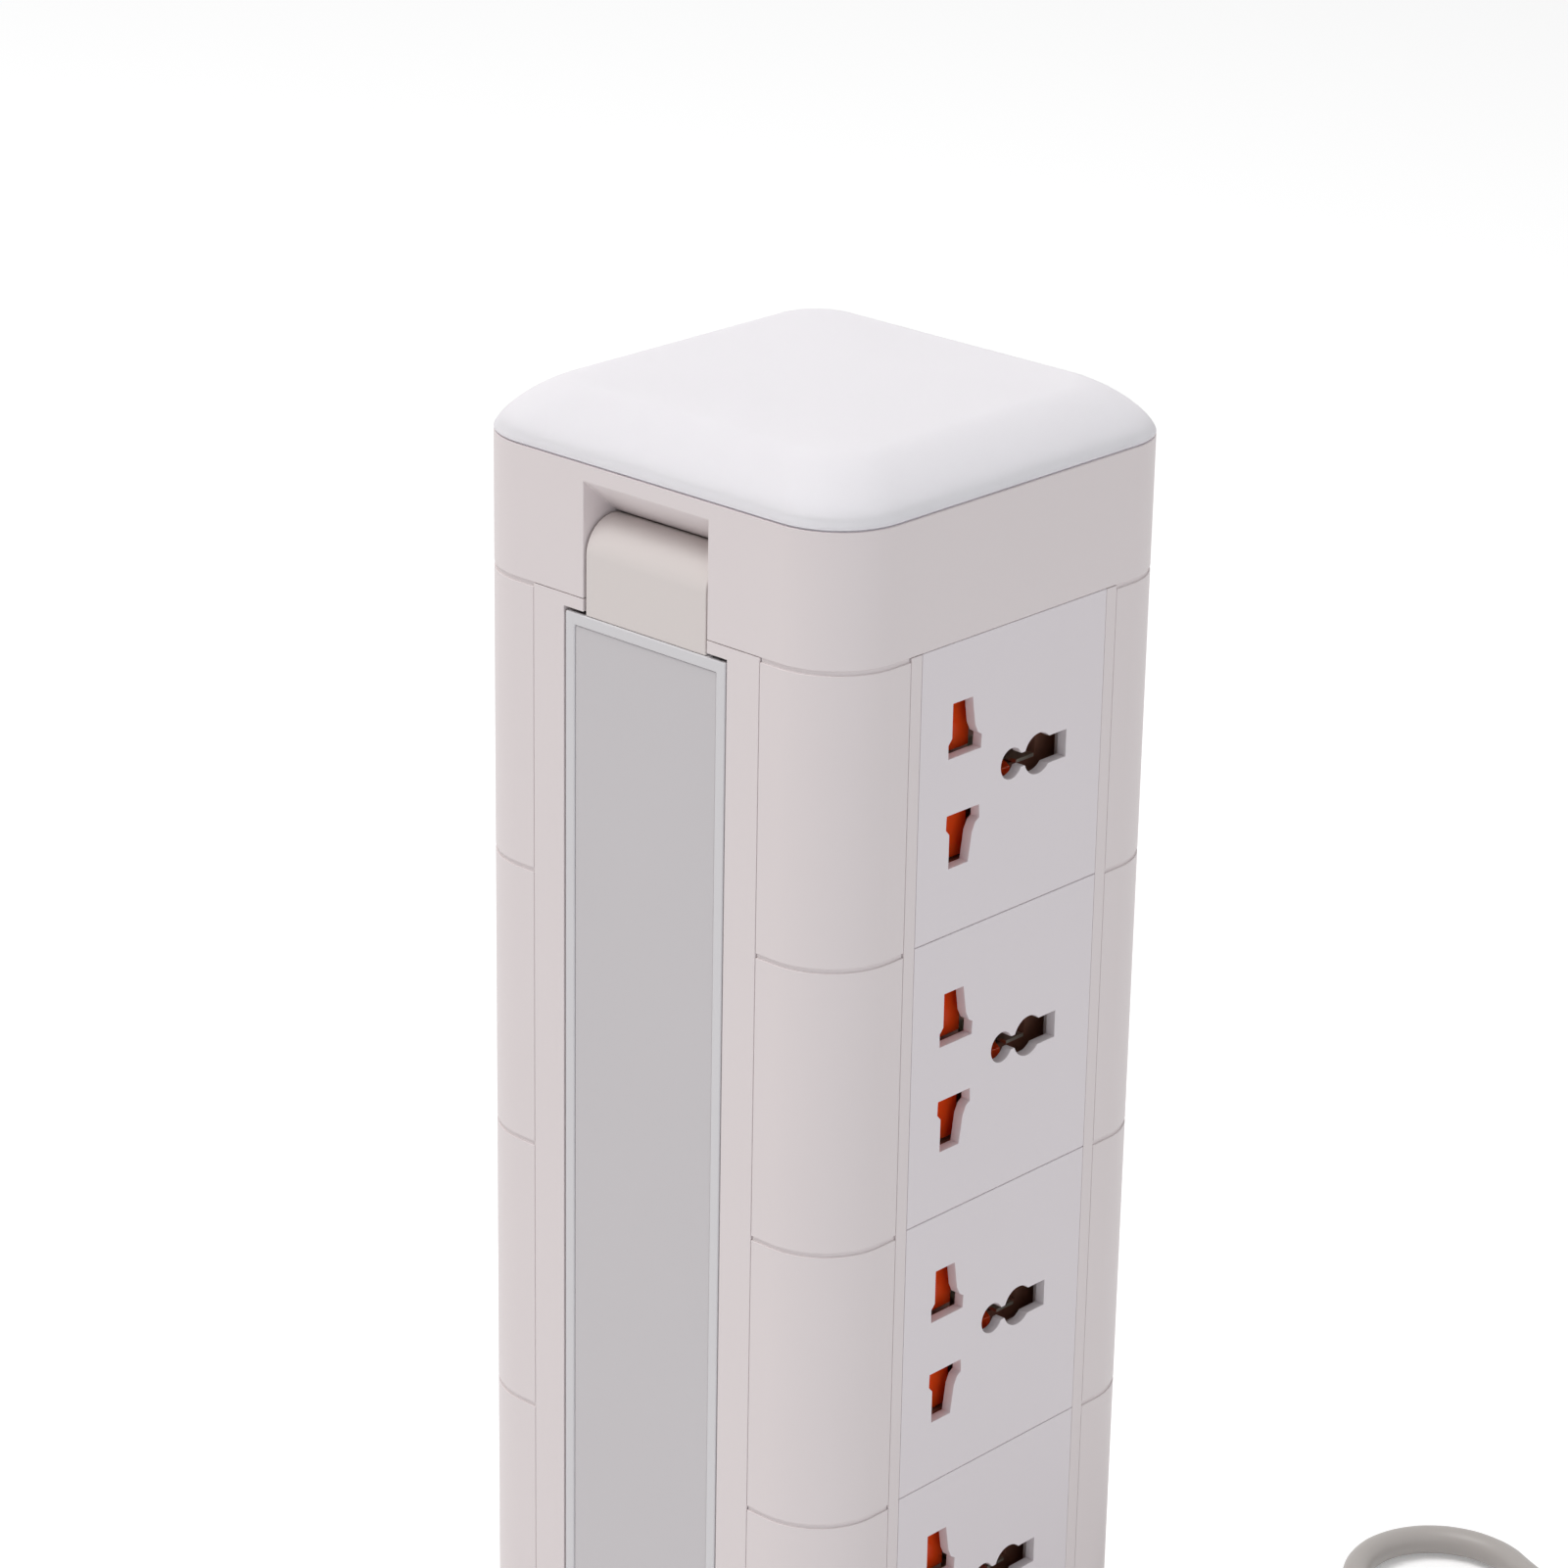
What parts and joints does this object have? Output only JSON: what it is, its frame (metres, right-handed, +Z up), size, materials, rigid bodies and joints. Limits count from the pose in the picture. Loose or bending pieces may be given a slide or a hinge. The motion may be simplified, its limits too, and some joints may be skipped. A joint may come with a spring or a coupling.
{
  "type": "tower power strip",
  "caption": "Square upright power tower with sockets on two sides, a fold-out lamp on the front, a night-light dome on top and a cable with a plug.",
  "frame": {"origin": "centre of the tower at the height of the floor that its feet stand on", "axes": "+Z up; -Y the front with the lamp; +X the side with the sockets seen in the picture; the cable leaves the base at +Y"},
  "size_m": [0.2037, 0.2657, 0.3189],
  "materials": {
    "housing": "fine matt moulded plastic, off-white",
    "plates": "fine satin moulded plastic, white",
    "diffuser": "satin translucent white plastic",
    "shutters": "translucent red-orange plastic",
    "contacts": "bright stamped brass",
    "plated_pins": "nickel plated",
    "steel": "zinc plated",
    "rubber": "matt",
    "boards": "white solder mask",
    "black_plastic": "semi-gloss",
    "red_plastic": "semi-gloss",
    "cord_sheath": "matt grey flexible sheath",
    "tie_wrap": "thin white plastic strip"
  },
  "bodies": {
    "tower": {"base_shell": "housing", "base_cover": "housing", "feet": "rubber", "base_screws": "steel", "tie_rods": "steel", "power_board": "boards", "module_frame_1": "housing", "module_frame_2": "housing", "module_frame_3": "housing", "module_frame_4": "housing", "module_frame_5": "housing", "front_panel": "housing", "rear_panel": "housing", "right_panel": "housing", "left_panel": "housing", "right_socket_plate_1": "plates", "right_socket_plate_2": "plates", "right_socket_plate_3": "plates", "right_socket_plate_4": "plates", "right_socket_plate_5": "plates", "left_socket_plate_1": "plates", "left_socket_plate_2": "plates", "left_socket_plate_3": "plates", "left_socket_plate_4": "plates", "left_socket_plate_5": "plates", "right_contact_carrier": "housing", "left_contact_carrier": "housing", "live_busbars": "contacts", "neutral_busbars": "contacts", "earth_busbars": "contacts", "head_ring": "housing", "head_deck": "plates", "night_light_board": "boards", "dome": "diffuser", "hinge_pin": "steel", "rocker_bezel": "black_plastic", "breaker_body": "black_plastic", "cord_gland": "cord_sheath", "cord": "cord_sheath", "cord_coil": "cord_sheath", "cord_tie": "tie_wrap", "plug_body": "cord_sheath", "plug_pins": "plated_pins"},
    "lamp": {"lamp_frame": "plates", "lamp_diffuser": "diffuser", "lamp_board": "boards", "hinge_knuckle": "housing"},
    "rocker": {"rocker": "red_plastic"},
    "reset_button": {"reset_button": "red_plastic"},
    "right_shutter_1": {"right_shutter_1": "shutters"},
    "right_shutter_2": {"right_shutter_2": "shutters"},
    "right_shutter_3": {"right_shutter_3": "shutters"},
    "right_shutter_4": {"right_shutter_4": "shutters"},
    "right_shutter_5": {"right_shutter_5": "shutters"},
    "left_shutter_1": {"left_shutter_1": "shutters"},
    "left_shutter_2": {"left_shutter_2": "shutters"},
    "left_shutter_3": {"left_shutter_3": "shutters"},
    "left_shutter_4": {"left_shutter_4": "shutters"},
    "left_shutter_5": {"left_shutter_5": "shutters"}
  },
  "joints": [
    {"name": "lamp_hinge", "type": "hinge", "parent": "tower", "child": "lamp", "pos_m": [0, -0.0375, 0.2922], "axis": [-1, 0, 0], "range_deg": [0, 110]},
    {"name": "rocker_hinge", "type": "hinge", "parent": "tower", "child": "rocker", "pos_m": [0, 0.0426, 0.2605], "axis": [1, 0, 0], "range_deg": [0, 18]},
    {"name": "reset_slide", "type": "slide", "parent": "tower", "child": "reset_button", "axis": [0, -1, 0], "range_m": [0, 0.002], "stiffness_N_per_m": 600, "springref_m": -0.001},
    {"name": "right_shutter_1_slide", "type": "slide", "parent": "tower", "child": "right_shutter_1", "axis": [0, -1, 0], "range_m": [0, 0.0089], "stiffness_N_per_m": 60, "springref_m": -0.004},
    {"name": "right_shutter_2_slide", "type": "slide", "parent": "tower", "child": "right_shutter_2", "axis": [0, -1, 0], "range_m": [0, 0.0089], "stiffness_N_per_m": 60, "springref_m": -0.004},
    {"name": "right_shutter_3_slide", "type": "slide", "parent": "tower", "child": "right_shutter_3", "axis": [0, -1, 0], "range_m": [0, 0.0089], "stiffness_N_per_m": 60, "springref_m": -0.004},
    {"name": "right_shutter_4_slide", "type": "slide", "parent": "tower", "child": "right_shutter_4", "axis": [0, -1, 0], "range_m": [0, 0.0089], "stiffness_N_per_m": 60, "springref_m": -0.004},
    {"name": "right_shutter_5_slide", "type": "slide", "parent": "tower", "child": "right_shutter_5", "axis": [0, -1, 0], "range_m": [0, 0.0089], "stiffness_N_per_m": 60, "springref_m": -0.004},
    {"name": "left_shutter_1_slide", "type": "slide", "parent": "tower", "child": "left_shutter_1", "axis": [0, 1, 0], "range_m": [0, 0.0089], "stiffness_N_per_m": 60, "springref_m": -0.004},
    {"name": "left_shutter_2_slide", "type": "slide", "parent": "tower", "child": "left_shutter_2", "axis": [0, 1, 0], "range_m": [0, 0.0089], "stiffness_N_per_m": 60, "springref_m": -0.004},
    {"name": "left_shutter_3_slide", "type": "slide", "parent": "tower", "child": "left_shutter_3", "axis": [0, 1, 0], "range_m": [0, 0.0089], "stiffness_N_per_m": 60, "springref_m": -0.004},
    {"name": "left_shutter_4_slide", "type": "slide", "parent": "tower", "child": "left_shutter_4", "axis": [0, 1, 0], "range_m": [0, 0.0089], "stiffness_N_per_m": 60, "springref_m": -0.004},
    {"name": "left_shutter_5_slide", "type": "slide", "parent": "tower", "child": "left_shutter_5", "axis": [0, 1, 0], "range_m": [0, 0.0089], "stiffness_N_per_m": 60, "springref_m": -0.004}
  ]
}
